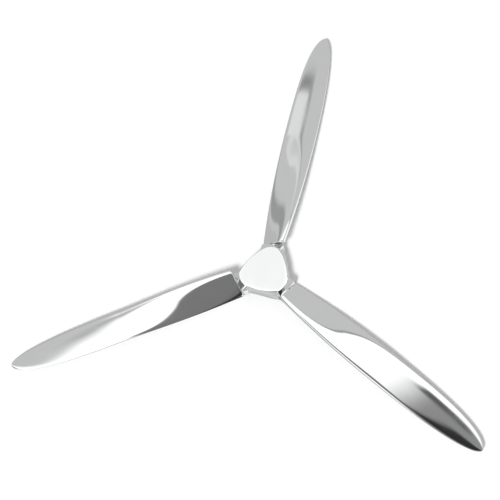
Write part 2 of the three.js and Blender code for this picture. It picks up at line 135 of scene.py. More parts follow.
BOSS_BORE_RADIUS = 7.2 * MM
RELIEF_RADIUS = 8.8 * MM  # room for the front bush's flange
WEB_WIDTH = 5 * MM
WEB_BOTTOM_Z = 7 * MM
WEB_INNER_RADIUS = BOSS_BORE_RADIUS + 1 * MM
WEB_OUTER_RADIUS = WALL_OUTLINE[0] - 7 * MM
SCREW_COVER = 1.7 * MM  # metal left over the cover screws' blind holes
PAST_FACE = 1 * MM  # how far a cutting tool runs past the face that it starts from

# ---------- threads, screws and nuts ----------
STEPS_PER_PITCH = 6
STUD_PITCH = 0.8 * MM
STUD_THREAD_DEPTH = 0.45 * MM
STUD_CHAMFER = 0.6 * MM
NUT_THREAD_DEPTH = 0.35 * MM
NUT_CHAMFER_SHARE = 0.8
NUT_CHAMFER_STEPS = 6
NUT_FACE_SHARE = 0.97  # the round land on a nut's face, as a share of its width over flats
BLADE_NUT_BORE_RADIUS = 2.55 * MM
SCREW_RADIUS = 1.5 * MM
SCREW_PITCH = 0.5 * MM
SCREW_THREAD_DEPTH = 0.3 * MM
SCREW_PLAIN_LENGTH = 3 * MM
SCREW_HEAD_RADIUS = 2.9 * MM
SCREW_HEAD_HEIGHT = 1.7 * MM
SOCKET_FLATS = 2.4 * MM
SOCKET_DEPTH = 1.1 * MM
SOCKET_CHAMFER = 0.15 * MM

# ---------- spindle, bushes and wall plate ----------
BUSH_BORE_RADIUS = 5.2 * MM
BUSH_OUTER_RADIUS = 7 * MM
BUSH_FLANGE_THICKNESS = 0.8 * MM
SPINDLE_RADIUS = 5 * MM
SPINDLE_TAIL_RADIUS = 4 * MM
SPINDLE_FLANGE_LOW_Z = 3.3 * MM
SPINDLE_FLANGE_HIGH_Z = 4.6 * MM
SPINDLE_SHOULDER_Z = 13.75 * MM
SPINDLE_THREAD_RADIUS = 4 * MM
SPINDLE_THREAD_DEPTH = 0.5 * MM
SPINDLE_PITCH = 1 * MM
SPINDLE_GROOVE_RADIUS = 3.6 * MM
SPINDLE_GROOVE_WIDTH = 0.8 * MM
SPINDLE_END_RADIUS = 3.2 * MM
SPINDLE_NUT_BORE_RADIUS = 4.05 * MM
SPINDLE_WASHER_BORE_RADIUS = 4.3 * MM
PLATE_BORE_RADIUS = 4.3 * MM
PLATE_BORE_FLOOR_Z = 1.2 * MM
PLATE_HOLES = 3
PLATE_HOLE_DISTANCE = 12.2 * MM
PLATE_HOLE_RADIUS = 1.9 * MM
PLATE_SINK_RADIUS = 3.4 * MM
PLATE_SINK_DEPTH = 1.6 * MM

ON_AXIS = 1e-9  # smaller than this counts as zero
ROUND_POINTS = 64
SMALL_ROUND_POINTS = 32
SCREW_POINTS = 48
PLATE_POINTS = 120
OWN_PLACE = "own_place"


# ---------- mesh helpers ----------
def make_object(name, points, faces):
    mesh = bpy.data.meshes.new(name)
    mesh.from_pydata([tuple(p) for p in points], [], faces)
    work = bmesh.new()
    work.from_mesh(mesh)
    bmesh.ops.recalc_face_normals(work, faces=work.faces)
    work.to_mesh(mesh)
    work.free()
    obj = bpy.data.objects.new(name, mesh)
    bpy.context.scene.collection.objects.link(obj)
    return obj


def loft(name, rings, closed=False):
    """Skin over rings of equal length. Both ends are capped, or joined to each other in a closed loft."""
    count = len(rings[0])
    points = [p for ring in rings for p in ring]
    faces = []
    steps = len(rings) if closed else len(rings) - 1
    for r in range(steps):
        here = r * count
        there = ((r + 1) % len(rings)) * count
        for i in range(count):
            j = (i + 1) % count
            faces.append((here + i, here + j, there + j, there + i))
    if not closed:
        faces.append(tuple(reversed(range(count))))
        faces.append(tuple(range((len(rings) - 1) * count, len(rings) * count)))
    return make_object(name, points, faces)


def bake_modifiers(obj):
    graph = bpy.context.evaluated_depsgraph_get()
    mesh = bpy.data.meshes.new_from_object(obj.evaluated_get(graph))
    obj.modifiers.clear()
    old = obj.data
    obj.data = mesh
    bpy.data.meshes.remove(old)


def combine(obj, tool, operation):
    modifier = obj.modifiers.new("combine", "BOOLEAN")
    modifier.operation = operation
    modifier.solver = "EXACT"
    modifier.object = tool
    bpy.context.view_layer.update()
    bake_modifiers(obj)
    bpy.data.objects.remove(tool)


def smooth(obj, angle=32):
    obj.data.shade_smooth()
    obj.data.set_sharp_from_angle(angle=math.radians(angle))


def place(obj, matrix):
    obj.data.transform(matrix)


def keep_own_place(obj):
    """Stores where each point is before the piece is turned to its blade, so that the grain turns with it."""
    own = obj.data.attributes.new(OWN_PLACE, "FLOAT_VECTOR", "POINT")
    for vertex, slot in zip(obj.data.vertices, own.data):
        slot.vector = vertex.co


def turn_about_axis(obj, index):
    """Puts a piece that was made for blade_1 on another blade."""
    keep_own_place(obj)
    place(obj, Matrix.Rotation(index * SECTOR, 4, "Z"))


def bend(start, corner, end, count):
    """Points of a rounded corner from start to end, both included."""
    points = []
    for i in range(count + 1):
        t = i / count
        points.append(start * (1 - t) ** 2 + corner * (2 * t * (1 - t)) + end * t**2)
    return points


# ---------- turned pieces ----------
def rounded_profile(profile, radius, count=3):
    """Rounds each corner of a closed list of (radius, z) corners; corners on the axis stay sharp."""
    corners = [Vector(p) for p in profile]
    points = []
    for i, corner in enumerate(corners):
        before = corners[i - 1]
        after = corners[(i + 1) % len(corners)]
        if corner.x < ON_AXIS:
            points.append(corner)
            continue
        reach_before = min(radius, (before - corner).length * 0.45)
        reach_after = min(radius, (after - corner).length * 0.45)
        start = corner + (before - corner).normalized() * reach_before
        end = corner + (after - corner).normalized() * reach_after
        points += bend(start, corner, end, count)
    return points


def circle(radius, z, count=ROUND_POINTS):
    ring = []
    for i in range(count):
        a = 2 * math.pi * i / count
        ring.append(Vector((radius * math.cos(a), radius * math.sin(a), z)))
    return ring


def turned_ring(name, profile, rounding, count=ROUND_POINTS):
    """A bored piece, from the closed profile of its cut side."""
    points = rounded_profile(profile, rounding)
    return loft(name, [circle(p.x, p.y, count) for p in points], closed=True)


def turned_solid(name, profile, rounding, count=ROUND_POINTS):
    """A solid piece, from a profile that starts and ends on the axis."""
    points = [p for p in rounded_profile(profile, rounding) if p.x > ON_AXIS]
    return loft(name, [circle(p.x, p.y, count) for p in points])


def rod(name, radius, bottom, top, rounding=0.0, count=ROUND_POINTS):
    return turned_solid(name, [(0, bottom), (radius, bottom), (radius, top), (0, top)], rounding, count)


# ---------- threads and hexagons ----------
def thread_ring(radius, depth, pitch, z, count):
    """One ring of a helical thread, whose crest is at radius and whose root is depth inside it."""
    ring = []
    for i in range(count):
        turn = i / count
        phase = (z / pitch - turn) % 1.0
        cut = depth * abs(2 * phase - 1)
        a = 2 * math.pi * turn
        ring.append(Vector(((radius - cut) * math.cos(a), (radius - cut) * math.sin(a), z)))
    return ring


def thread_rings(radius, depth, pitch, bottom, top, count):
    steps = max(2, round((top - bottom) / pitch * STEPS_PER_PITCH))
    heights = [bottom + (top - bottom) * i / steps for i in range(steps + 1)]
    return [thread_ring(radius, depth, pitch, z, count) for z in heights]


def hexagon_radius(flats, direction):
    side = math.pi / 3
    lean = (direction % side) - side / 2
    return flats / 2 / math.cos(lean)


def hexagon_ring(flats, z, count, limit=math.inf):
    """A hexagon with a corner towards +X, cut back to a circle of the limit radius."""
    ring = []
    for i in range(count):
        a = 2 * math.pi * i / count
        radius = min(hexagon_radius(flats, a), limit)
        ring.append(Vector((radius * math.cos(a), radius * math.sin(a), z)))
    return ring


def hexagon_nut(name, flats, bore, bottom, top, pitch, count=ROUND_POINTS + 8):
    """A chamfered nut with a threaded bore, on the Z axis."""
    corner = flats / 2 / math.cos(math.pi / 6)
    land = flats / 2 * NUT_FACE_SHARE
    depth = (corner - flats / 2) * NUT_CHAMFER_SHARE
    rings = []
    for i in range(NUT_CHAMFER_STEPS + 1):
        t = i / NUT_CHAMFER_STEPS
        rings.append(hexagon_ring(flats, bottom + depth * t, count, land + (corner - land) * t))
    for i in range(NUT_CHAMFER_STEPS + 1):
        t = 1 - i / NUT_CHAMFER_STEPS
        rings.append(hexagon_ring(flats, top - depth * t, count, land + (corner - land) * t))
    root = bore + NUT_THREAD_DEPTH
    entry = root + 0.1 * MM
    lead = 0.4 * MM
    inner = thread_rings(root, NUT_THREAD_DEPTH, pitch, bottom + lead, top - lead, count)
    rings.append(circle(entry, top, count))
    rings += list(reversed(inner))
    rings.append(circle(entry, bottom, count))
    return loft(name, rings, closed=True)


# ---------- blades ----------
def blade_station(y):
    u = (y - PLANFORM_START_Y) / (TIP_Y - PLANFORM_START_Y)
    inward = max(0.0, (WIDEST_AT - u) / WIDEST_AT)
    outward = min(1.0, max(0.0, (u - WIDEST_AT) / (1 - WIDEST_AT)))
    rooted = 1 - (1 - CHORD_ROOT_RATIO) * inward**2
    tipped = math.sqrt(1 - outward**TIP_EXPONENT)
    washout = min(1.0, max(0.0, (y - PLANFORM_START_Y) / (WASHOUT_Y - PLANFORM_START_Y)))
    span = min(1.0, max(0.0, u))
    thickness = THICKNESS_ROOT + (THICKNESS_TIP - THICKNESS_ROOT) * span
    return {
        "chord": CHORD_MAX * rooted * tipped,
        "thickness": thickness * (TIP_THICKNESS_SHARE + (1 - TIP_THICKNESS_SHARE) * tipped),
        "x": -TIP_SWEEP * span**3 * (1 - span**8),
        "z": PLANE_Z - TIP_DROOP * math.sin(math.pi / 2 * span) ** 2,
        "pitch": PITCH_ROOT * (1 - washout) ** PITCH_EXPONENT,
    }


def squareness(y):
    u = min(1.0, max(0.0, (y - PLANFORM_START_Y) / (TIP_Y - PLANFORM_START_Y)))
    return SQUARENESS_ROOT + (SQUARENESS_TIP - SQUARENESS_ROOT) * u * u * (3 - 2 * u)


def section_place(a, y, inset):
    """A point of the section at angle a round it, with the section shrunk by inset all round."""
    station = blade_station(y)
    power = squareness(y)
    s = math.copysign(abs(math.cos(a)) ** (2 / SECTION_SPACING), math.cos(a))
    n = math.copysign(max(0.0, 1 - abs(s) ** power) ** (1 / power), math.sin(a))
    half_chord = max(station["chord"] / 2 - inset, THINNEST)
    half_thickness = max(station["thickness"] / 2 - inset, THINNEST)
    along = s * half_chord
    up = n * (1 + SECTION_TAPER * s) * half_thickness
    c = math.cos(station["pitch"])
    w = math.sin(station["pitch"])
    return Vector((station["x"] + along * c - up * w, y, station["z"] + along * w + up * c))


def blade_ring(y, lean, inset):
    """A ring of the blade through y on its axis; lean slants the ring's plane like the hub's seat."""
    ring = []
    for i in range(SECTION_POINTS):
        a = -2 * math.pi * i / SECTION_POINTS
        place_y = y
        for _ in range(4):
            p = section_place(a, place_y, inset)
            place_y = y + p.x * lean
        ring.append(section_place(a, place_y, inset))
    return ring


def root_edge_rings(start):
    """The rounded edge round the blade's flat root end."""
    rings = []
    for i in range(ROOT_EDGE_STEPS):
        a = math.pi / 2 * i / (ROOT_EDGE_STEPS - 1)
        ahead = ROOT_FILLET * (1 - math.cos(a))
        inset = ROOT_FILLET * (1 - math.sin(a))
        rings.append(blade_ring(start + ahead, SEAT_SLOPE, inset))
    return rings


def station_share(t):
    """Runs from 0 to 1 with t, evenly at first and crowding towards the blade's tip."""
    if t > CROWD_FROM:
        return math.sin(math.pi / 2 * t)
    return t * math.sin(math.pi / 2 * CROWD_FROM) / CROWD_FROM


def blade_mesh(name):
    start = SEAT_Y + SEAT_GAP
    rings = root_edge_rings(start)
    first = start + ROOT_FILLET
    length = TIP_Y - first
    for i in range(1, BLADE_STATIONS + 1):
        along = length * station_share(i / BLADE_STATIONS)
        lean = SEAT_SLOPE * max(0.0, 1 - along / SQUARE_AFTER)
        rings.append(blade_ring(first + along, lean, 0.0))
    return loft(name, rings)


def dowel_line():
    return (DOWEL_LOW.x + DOWEL_HIGH.x) / 2, (DOWEL_LOW.z + DOWEL_HIGH.z) / 2


def blade_piece(index):
    obj = blade_mesh(f"blade_{index + 1}_polished")
    stud_hole = rod("hole", STUD_HOLE_RADIUS, 0, STUD_HIGH.y + HOLE_ROOM)
    combine(obj, along_blade(stud_hole, *stud_line()), "DIFFERENCE")
    dowel_hole = rod("hole", DOWEL_HOLE_RADIUS, 0, DOWEL_HIGH.y + HOLE_ROOM)
    combine(obj, along_blade(dowel_hole, *dowel_line()), "DIFFERENCE")
    smooth(obj, 38)
    turn_about_axis(obj, index)
    return obj


def stud_line():
    return (STUD_LOW.x + STUD_HIGH.x) / 2, (STUD_LOW.z + STUD_HIGH.z) / 2


def along_blade(obj, x, z):
    """Lays a piece made on the Z axis along +Y, at the given x and z."""
    place(obj, Matrix.Translation((x, 0, z)) @ Matrix.Rotation(-math.pi / 2, 4, "X"))
    return obj


# ---------- blade fixings ----------
def stud_piece(index):
    radius = (STUD_HIGH.x - STUD_LOW.x) / 2
    inner, outer = STUD_LOW.y, STUD_HIGH.y
    thread_start = inner + 0.5 * MM
    thread_end = SEAT_INNER_Y + 2 * MM
    end_radius = radius - STUD_CHAMFER
    rings = [circle(end_radius, inner), circle(radius - STUD_THREAD_DEPTH, inner + 0.3 * MM)]
    rings += thread_rings(radius, STUD_THREAD_DEPTH, STUD_PITCH, thread_start, thread_end, ROUND_POINTS)
    rings.append(circle(radius, thread_end + STUD_CHAMFER))
    rings.append(circle(radius, outer - STUD_CHAMFER))
    rings.append(circle(end_radius, outer))
    obj = along_blade(loft(f"blade_stud_{index + 1}_threaded", rings), *stud_line())
    smooth(obj, 50)
    turn_about_axis(obj, index)
    return obj


def dowel_piece(index):
    radius = (DOWEL_HIGH.x - DOWEL_LOW.x) / 2
    obj = rod(f"blade_dowel_{index + 1}_ground", radius, DOWEL_LOW.y, DOWEL_HIGH.y, 0.4 * MM, 40)
    obj = along_blade(obj, *dowel_line())
    smooth(obj, 40)
    turn_about_axis(obj, index)
    return obj


def blade_washer_piece(index):
    low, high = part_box("blade_washer_1")
    outer = (high.x - low.x) / 2
    bore = STUD_HOLE_RADIUS
    profile = [(bore, low.y), (outer, low.y), (outer, high.y), (bore, high.y)]
    obj = along_blade(turned_ring(f"blade_washer_{index + 1}_pressed", profile, 0.25 * MM), *stud_line())
    smooth(obj, 40)
    turn_about_axis(obj, index)
    return obj


def blade_nut_piece(index):
    low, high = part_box("blade_nut_1")
    flats = high.z - low.z
    name = f"blade_nut_{index + 1}_hexagon"
    obj = hexagon_nut(name, flats, BLADE_NUT_BORE_RADIUS, low.y, high.y, STUD_PITCH)
    obj = along_blade(obj, *stud_line())
    smooth(obj, 30)
    turn_about_axis(obj, index)
    return obj


# ---------- hub ----------
def outline_radius(outline, direction):
    mean, lobe, corner = outline
    a = direction - HUB_TWIST
    return mean * (1 + lobe * math.cos(3 * a) + corner * math.cos(6 * a))


def nearest_blade_lean(direction):
    turns = round((math.pi / 2 - direction) / SECTOR)
    return math.pi / 2 - direction - turns * SECTOR


def seat_radius(direction):
    lean = nearest_blade_lean(direction)
    to_end = SEAT_Y / (math.cos(lean) - SEAT_SLOPE * math.sin(lean))
    to_side = SEAT_HALF_WIDTH / max(abs(math.sin(lean)), ON_AXIS)
    return min(to_end, to_side)


def wall_radius(direction):
    return max(outline_radius(WALL_OUTLINE, direction), seat_radius(direction))


def hollow_radius(direction):
    to_seat = SEAT_INNER_Y / math.cos(nearest_blade_lean(direction))
    return min(outline_radius(HOLLOW_OUTLINE, direction), to_seat)


def pocket_radius(direction):
    return outline_radius(POCKET_OUTLINE, direction)


def even_outline(radius_at, count=OUTLINE_POINTS, softness=CORNER_SOFTNESS):
    """Points evenly spaced along a closed outline, with its corners slightly rounded."""
    fine = 8 * count
    track = []
    for i in range(fine):
        a = 2 * math.pi * i / fine
        track.append(Vector((radius_at(a) * math.cos(a), radius_at(a) * math.sin(a))))
    lengths = [0.0]
    for i in range(fine):
        lengths.append(lengths[-1] + (track[(i + 1) % fine] - track[i]).length)
    even = []
    i = 0
    for k in range(count):
        goal = lengths[-1] * k / count
        while lengths[i + 1] < goal:
            i += 1
        share = (goal - lengths[i]) / (lengths[i + 1] - lengths[i])
        even.append(track[i].lerp(track[(i + 1) % fine], share))
    soft = []
    for k in range(count):
        near = [even[(k + d) % count] for d in range(-softness, softness + 1)]
        soft.append(sum(near, Vector((0, 0))) / len(near))
    return soft


def inset_outline(points, amount):
    count = len(points)
    moved = []
    for k in range(count):
        along = (points[(k + 1) % count] - points[k - 1]).normalized()
        moved.append(points[k] + Vector((-along.y, along.x)) * amount)
    return moved


def at_height(points, z):
    return [Vector((p.x, p.y, z)) for p in points]


def prism(name, points, bottom, top):
    return loft(name, [at_height(points, bottom), at_height(points, top)])


def tower_angle(index):
    return HUB_TWIST + math.pi / BLADES + index * SECTOR


def at_tower(obj, index):
    a = tower_angle(index)
    place(obj, Matrix.Translation((TOWER_DISTANCE * math.cos(a), TOWER_DISTANCE * math.sin(a), 0)))
    return obj


def cap_rings():
    wall = even_outline(wall_radius)
    face = []
    for p in wall:
        a = math.atan2(p.y, p.x)
        radius = outline_radius(FACE_OUTLINE, a)
        face.append(Vector((radius * math.cos(a), radius * math.sin(a))))
    foot_in = at_height(inset_outline(wall, LIP), CAP_LOW.z)
    foot = at_height(wall, CAP_LOW.z)
    edge = at_height(face, FACE_Z - FACE_CROWN)
    face_in = at_height(inset_outline(face, FACE_ROUNDING), FACE_Z - FACE_CROWN)
    columns = []
    for k in range(len(wall)):
        rise = edge[k] - foot[k]
        above_foot = foot[k] + rise * min(0.4, LIP / rise.length)
        below_edge = edge[k] - rise * min(0.4, FACE_ROUNDING / rise.length)
        column = bend(foot_in[k], foot[k], above_foot, 6) + bend(below_edge, edge[k], face_in[k], 8)
        columns.append(column)
    rings = [list(ring) for ring in zip(*columns)]
    for share in (0.9, 0.75, 0.6, 0.45, 0.3, 0.15):
        rings.append([Vector((p.x * share, p.y * share, FACE_Z - FACE_CROWN * share**2)) for p in face_in])
    return rings


def hub_cap_piece():
    cap = loft("hub_cap_polished", cap_rings())
    pocket = prism("pocket", even_outline(pocket_radius, 120, 0), CAP_LOW.z - PAST_FACE, POCKET_TOP_Z)
    for i in range(BLADES):
        combine(pocket, at_tower(rod("tower", TOWER_RADIUS, 0, FACE_Z), i), "DIFFERENCE")
    combine(cap, pocket, "DIFFERENCE")
    for i in range(BLADES):
        screw_hole = rod("hole", COVER_SCREW_HOLE_RADIUS, 0, FACE_Z - SCREW_COVER, 0, SMALL_ROUND_POINTS)
        combine(cap, at_tower(screw_hole, i), "DIFFERENCE")
    smooth(cap)
    return cap


def hub_body_shell():
    wall = even_outline(wall_radius)
    inner_bottom = at_height(inset_outline(wall, LIP), BODY_LOW.z)
    bottom = at_height(wall, BODY_LOW.z)
    top = at_height(wall, BODY_HIGH.z)
    inner_top = at_height(inset_outline(wall, LIP), BODY_HIGH.z)
    columns = []
    for k in range(len(wall)):
        up = Vector((0, 0, LIP))
        lower = bend(inner_bottom[k], bottom[k], bottom[k] + up, 4)
        upper = bend(top[k] - up, top[k], inner_top[k], 4)
        columns.append(lower + upper)
    return loft("hub_body_cast", [list(ring) for ring in zip(*columns)])


def web_bar(index):
    """A rib from the centre boss out to the flank wall."""
    side = WEB_WIDTH / 2
    ring = [
        Vector((WEB_INNER_RADIUS, -side)),
        Vector((WEB_OUTER_RADIUS, -side)),
        Vector((WEB_OUTER_RADIUS, side)),
        Vector((WEB_INNER_RADIUS, side)),
    ]
    web = prism("web", ring, WEB_BOTTOM_Z, BODY_HIGH.z)
    place(web, Matrix.Rotation(tower_angle(index), 4, "Z"))
    return web


def hub_body_piece():
    body = hub_body_shell()
    outline = even_outline(hollow_radius, 240, 2)
    hollow = prism("hollow", outline, BODY_LOW.z - PAST_FACE, BODY_HIGH.z + PAST_FACE)
    combine(body, hollow, "DIFFERENCE")
    combine(body, rod("boss", BOSS_RADIUS, BOSS_BOTTOM_Z, BOSS_TOP_Z, 0.4 * MM), "UNION")
    for i in range(BLADES):
        combine(body, web_bar(i), "UNION")
        combine(body, at_tower(rod("tower", TOWER_RADIUS, TOWER_BOTTOM_Z, BODY_HIGH.z, 0.3 * MM), i), "UNION")
    combine(body, rod("relief", RELIEF_RADIUS, BOSS_TOP_Z, BODY_HIGH.z + PAST_FACE), "DIFFERENCE")
    combine(body, rod("bore", BOSS_BORE_RADIUS, 0, BODY_HIGH.z), "DIFFERENCE")
    for i in range(BLADES):
        screw_hole = rod("hole", COVER_SCREW_HOLE_RADIUS, 0, FACE_Z, 0, SMALL_ROUND_POINTS)
        combine(body, at_tower(screw_hole, i), "DIFFERENCE")
        stud_hole = rod("hole", STUD_HOLE_RADIUS, STUD_LOW.y - HOLE_ROOM, PAST)
        combine(body, blade_bar(stud_hole, stud_line(), i), "DIFFERENCE")
        dowel_hole = rod("hole", DOWEL_HOLE_RADIUS, DOWEL_LOW.y - HOLE_ROOM, PAST, 0, SMALL_ROUND_POINTS)
        combine(body, blade_bar(dowel_hole, dowel_line(), i), "DIFFERENCE")
    smooth(body)
    return body


def blade_bar(obj, line, index):
    along_blade(obj, *line)
    place(obj, Matrix.Rotation(index * SECTOR, 4, "Z"))
    return obj


def cover_screw_piece(index):
    low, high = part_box("cover_screw_1")
    head_back, tip = low.z, high.z
    under_head = head_back + SCREW_HEAD_HEIGHT
    edge_radius = SCREW_HEAD_RADIUS - 0.1 * MM
    rings = [
        hexagon_ring(SOCKET_FLATS, head_back + SOCKET_DEPTH, SCREW_POINTS),
        hexagon_ring(SOCKET_FLATS, head_back + SOCKET_CHAMFER, SCREW_POINTS),
        hexagon_ring(SOCKET_FLATS + 2 * SOCKET_CHAMFER, head_back, SCREW_POINTS),
        circle(SCREW_HEAD_RADIUS - 0.35 * MM, head_back, SCREW_POINTS),
        circle(edge_radius, head_back + 0.1 * MM, SCREW_POINTS),
        circle(SCREW_HEAD_RADIUS, head_back + 0.35 * MM, SCREW_POINTS),
        circle(SCREW_HEAD_RADIUS, under_head - 0.15 * MM, SCREW_POINTS),
        circle(edge_radius, under_head, SCREW_POINTS),
        circle(SCREW_RADIUS, under_head, SCREW_POINTS),
        circle(SCREW_RADIUS, under_head + SCREW_PLAIN_LENGTH, SCREW_POINTS),
    ]
    start = under_head + SCREW_PLAIN_LENGTH + 0.4 * MM
    end = tip - SCREW_PITCH
    rings += thread_rings(SCREW_RADIUS, SCREW_THREAD_DEPTH, SCREW_PITCH, start, end, SCREW_POINTS)
    rings.append(circle(SCREW_RADIUS - 0.5 * MM, tip, SCREW_POINTS))
    obj = loft(f"cover_screw_{index + 1}_socket_head", rings)
    at_tower(obj, index)
    smooth(obj, 40)
    return obj


# ---------- pieces on the axis ----------
def bush_piece(node, name):
    """A flanged bush: the rear one has its flange at the back, the front one at the front."""
    low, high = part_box(node)
    bore, outer = BUSH_BORE_RADIUS, BUSH_OUTER_RADIUS
    wide = (high.x - low.x) / 2
    if node == "bush_rear":
        step = low.z + BUSH_FLANGE_THICKNESS
        profile = [(bore, low.z), (wide, low.z), (wide, step), (outer, step), (outer, high.z), (bore, high.z)]
    else:
        step = high.z - BUSH_FLANGE_THICKNESS
        profile = [(bore, low.z), (outer, low.z), (outer, step), (wide, step), (wide, high.z), (bore, high.z)]
    obj = turned_ring(name, profile, 0.2 * MM)
    smooth(obj, 40)
    return obj


def washer_piece(node, name, bore):
    low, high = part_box(node)
    outer = (high.x - low.x) / 2
    obj = turned_ring(name, [(bore, low.z), (outer, low.z), (outer, high.z), (bore, high.z)], 0.15 * MM)
    smooth(obj, 40)
    return obj


def spindle_piece():
    low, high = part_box("spindle")
    flange = (high.x - low.x) / 2
    groove_end = SPINDLE_SHOULDER_Z + SPINDLE_GROOVE_WIDTH
    profile = [
        (0, low.z),
        (SPINDLE_TAIL_RADIUS, low.z),
        (SPINDLE_TAIL_RADIUS, SPINDLE_FLANGE_LOW_Z),
        (flange, SPINDLE_FLANGE_LOW_Z),
        (flange, SPINDLE_FLANGE_HIGH_Z),
        (SPINDLE_RADIUS, SPINDLE_FLANGE_HIGH_Z),
        (SPINDLE_RADIUS, SPINDLE_SHOULDER_Z),
        (SPINDLE_GROOVE_RADIUS, SPINDLE_SHOULDER_Z),
        (SPINDLE_GROOVE_RADIUS, groove_end),
        (0, groove_end),
    ]
    corner_steps = 3
    points = [p for p in rounded_profile(profile, 0.2 * MM, corner_steps) if p.x > ON_AXIS]
    below_thread = points[: -(corner_steps + 1)]
    rings = [circle(p.x, p.y) for p in below_thread]
    start = SPINDLE_SHOULDER_Z + SPINDLE_PITCH
    end = high.z - SPINDLE_THREAD_DEPTH
    depth = SPINDLE_THREAD_DEPTH
    rings += thread_rings(SPINDLE_THREAD_RADIUS, depth, SPINDLE_PITCH, start, end, ROUND_POINTS)
    rings.append(circle(SPINDLE_END_RADIUS, high.z))
    obj = loft("spindle_turned", rings)
    smooth(obj, 40)
    return obj


def spindle_nut_piece():
    low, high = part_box("spindle_nut")
    flats = high.x - low.x
    obj = hexagon_nut("spindle_nut_hexagon", flats, SPINDLE_NUT_BORE_RADIUS, low.z, high.z, SPINDLE_PITCH)
    place(obj, Matrix.Rotation(math.pi / 6, 4, "Z"))
    smooth(obj, 30)
    return obj


def countersink(top):
    """The cutting tool for one of the wall plate's screw holes."""
    past = top + PAST_FACE
    profile = [
        (0, -PAST_FACE),
        (PLATE_HOLE_RADIUS, -PAST_FACE),
        (PLATE_HOLE_RADIUS, top - PLATE_SINK_DEPTH),
        (PLATE_SINK_RADIUS, top),
        (PLATE_SINK_RADIUS, past),
        (0, past),
    ]
    return turned_solid("sink", profile, 0.0, SCREW_POINTS)


def wall_plate_piece():
    low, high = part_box("wall_plate")
    radius = high.x
    bore, floor_z = PLATE_BORE_RADIUS, PLATE_BORE_FLOOR_Z
    profile = [(0, low.z), (radius, low.z), (radius, high.z), (bore, high.z), (bore, floor_z), (0, floor_z)]
    obj = turned_solid("wall_plate_coated", profile, 0.35 * MM, PLATE_POINTS)
    for i in range(PLATE_HOLES):
        a = math.pi / 2 + i * 2 * math.pi / PLATE_HOLES
        centre = (PLATE_HOLE_DISTANCE * math.cos(a), PLATE_HOLE_DISTANCE * math.sin(a), 0)
        tool = countersink(high.z)
        place(tool, Matrix.Translation(centre))
        combine(obj, tool, "DIFFERENCE")
    smooth(obj, 35)
    return obj


# ---------- materials ----------
def new_node(tree, kind, **inputs):
    node = tree.nodes.new(kind)
    for name, value in inputs.items():
        node.inputs[name.replace("_", " ")].default_value = value
    return node


def start_material(name, color, metallic, roughness):
    material = bpy.data.materials.new(name)
    material.use_nodes = True
    tree = material.node_tree
    shader = tree.nodes["Principled BSDF"]
    shader.inputs["Base Color"].default_value = (*color, 1)
    shader.inputs["Metallic"].default_value = metallic
    shader.inputs["Roughness"].default_value = roughness
    return material, tree, shader


def object_space(tree, stretch):
    """The piece's own coordinates in metres, stretched by a factor along each axis."""
    coordinates = tree.nodes.new("ShaderNodeAttribute")
    coordinates.attribute_name = OWN_PLACE
    mapping = tree.nodes.new("ShaderNodeMapping")
    mapping.inputs["Scale"].default_value = stretch
    tree.links.new(coordinates.outputs["Vector"], mapping.inputs["Vector"])
    return mapping.outputs["Vector"]


def noise(tree, vector, scale, detail=3.0):
    texture = new_node(tree, "ShaderNodeTexNoise", Scale=scale, Detail=detail)
    tree.links.new(vector, texture.inputs["Vector"])
    return texture.outputs["Fac"]


def remap(tree, value, low, high, to_low, to_high):
    node = tree.nodes.new("ShaderNodeMapRange")
    for name, number in (("From Min", low), ("From Max", high), ("To Min", to_low), ("To Max", to_high)):
        node.inputs[name].default_value = number
    tree.links.new(value, node.inputs["Value"])
    return node.outputs["Result"]


def add_bump(tree, shader, height, strength, distance, after=None):
    bump = new_node(tree, "ShaderNodeBump", Strength=strength, Distance=distance)
    tree.links.new(height, bump.inputs["Height"])
    if after is not None:
        tree.links.new(after, bump.inputs["Normal"])
    tree.links.new(bump.outputs["Normal"], shader.inputs["Normal"])
    return bump.outputs["Normal"]


def tint(tree, shader, value, dark, light):
    """Base colour running from dark to light with value."""
    mix = tree.nodes.new("ShaderNodeMix")
    mix.data_type = "RGBA"
    mix.inputs["A"].default_value = (*dark, 1)
    mix.inputs["B"].default_value = (*light, 1)
    tree.links.new(value, mix.inputs["Factor"])
    tree.links.new(mix.outputs["Result"], shader.inputs["Base Color"])


def polished_aluminium():
    """Mirror polish with hairline buffing marks along the blade, faint smears and a slightly wavy surface."""
    material, tree, shader = start_material("polished aluminium", (0.92, 0.925, 0.93), 1, 0.07)
    hairlines = noise(tree, object_space(tree, (1.0, 0.02, 1.0)), 2200, 2)
    smears = noise(tree, object_space(tree, (1.0, 0.35, 1.0)), 60, 4)
    waves = noise(tree, object_space(tree, (1.0, 0.5, 1.0)), 45, 1)
    tree.links.new(remap(tree, smears, 0.35, 0.7, 0.05, 0.11), shader.inputs["Roughness"])
    tint(tree, shader, smears, (0.9, 0.905, 0.91), (0.94, 0.945, 0.95))
    broad = add_bump(tree, shader, waves, 0.35, 0.05 * MM)
    add_bump(tree, shader, hairlines, 0.06, 0.01 * MM, broad)
    return material


def cast_aluminium():
    """A fine sand-cast skin, as left inside the hub."""
    material, tree, shader = start_material("cast aluminium", (0.6, 0.61, 0.62), 1, 0.5)
    grains = noise(tree, object_space(tree, (1, 1, 1)), 1400, 4)
    stains = noise(tree, object_space(tree, (1, 1, 1)), 120, 3)
    tree.links.new(remap(tree, stains, 0.3, 0.7, 0.42, 0.6), shader.inputs["Roughness"])
    tint(tree, shader, stains, (0.5, 0.51, 0.52), (0.66, 0.67, 0.68))
    add_bump(tree, shader, grains, 0.6, 0.12 * MM)
    return material


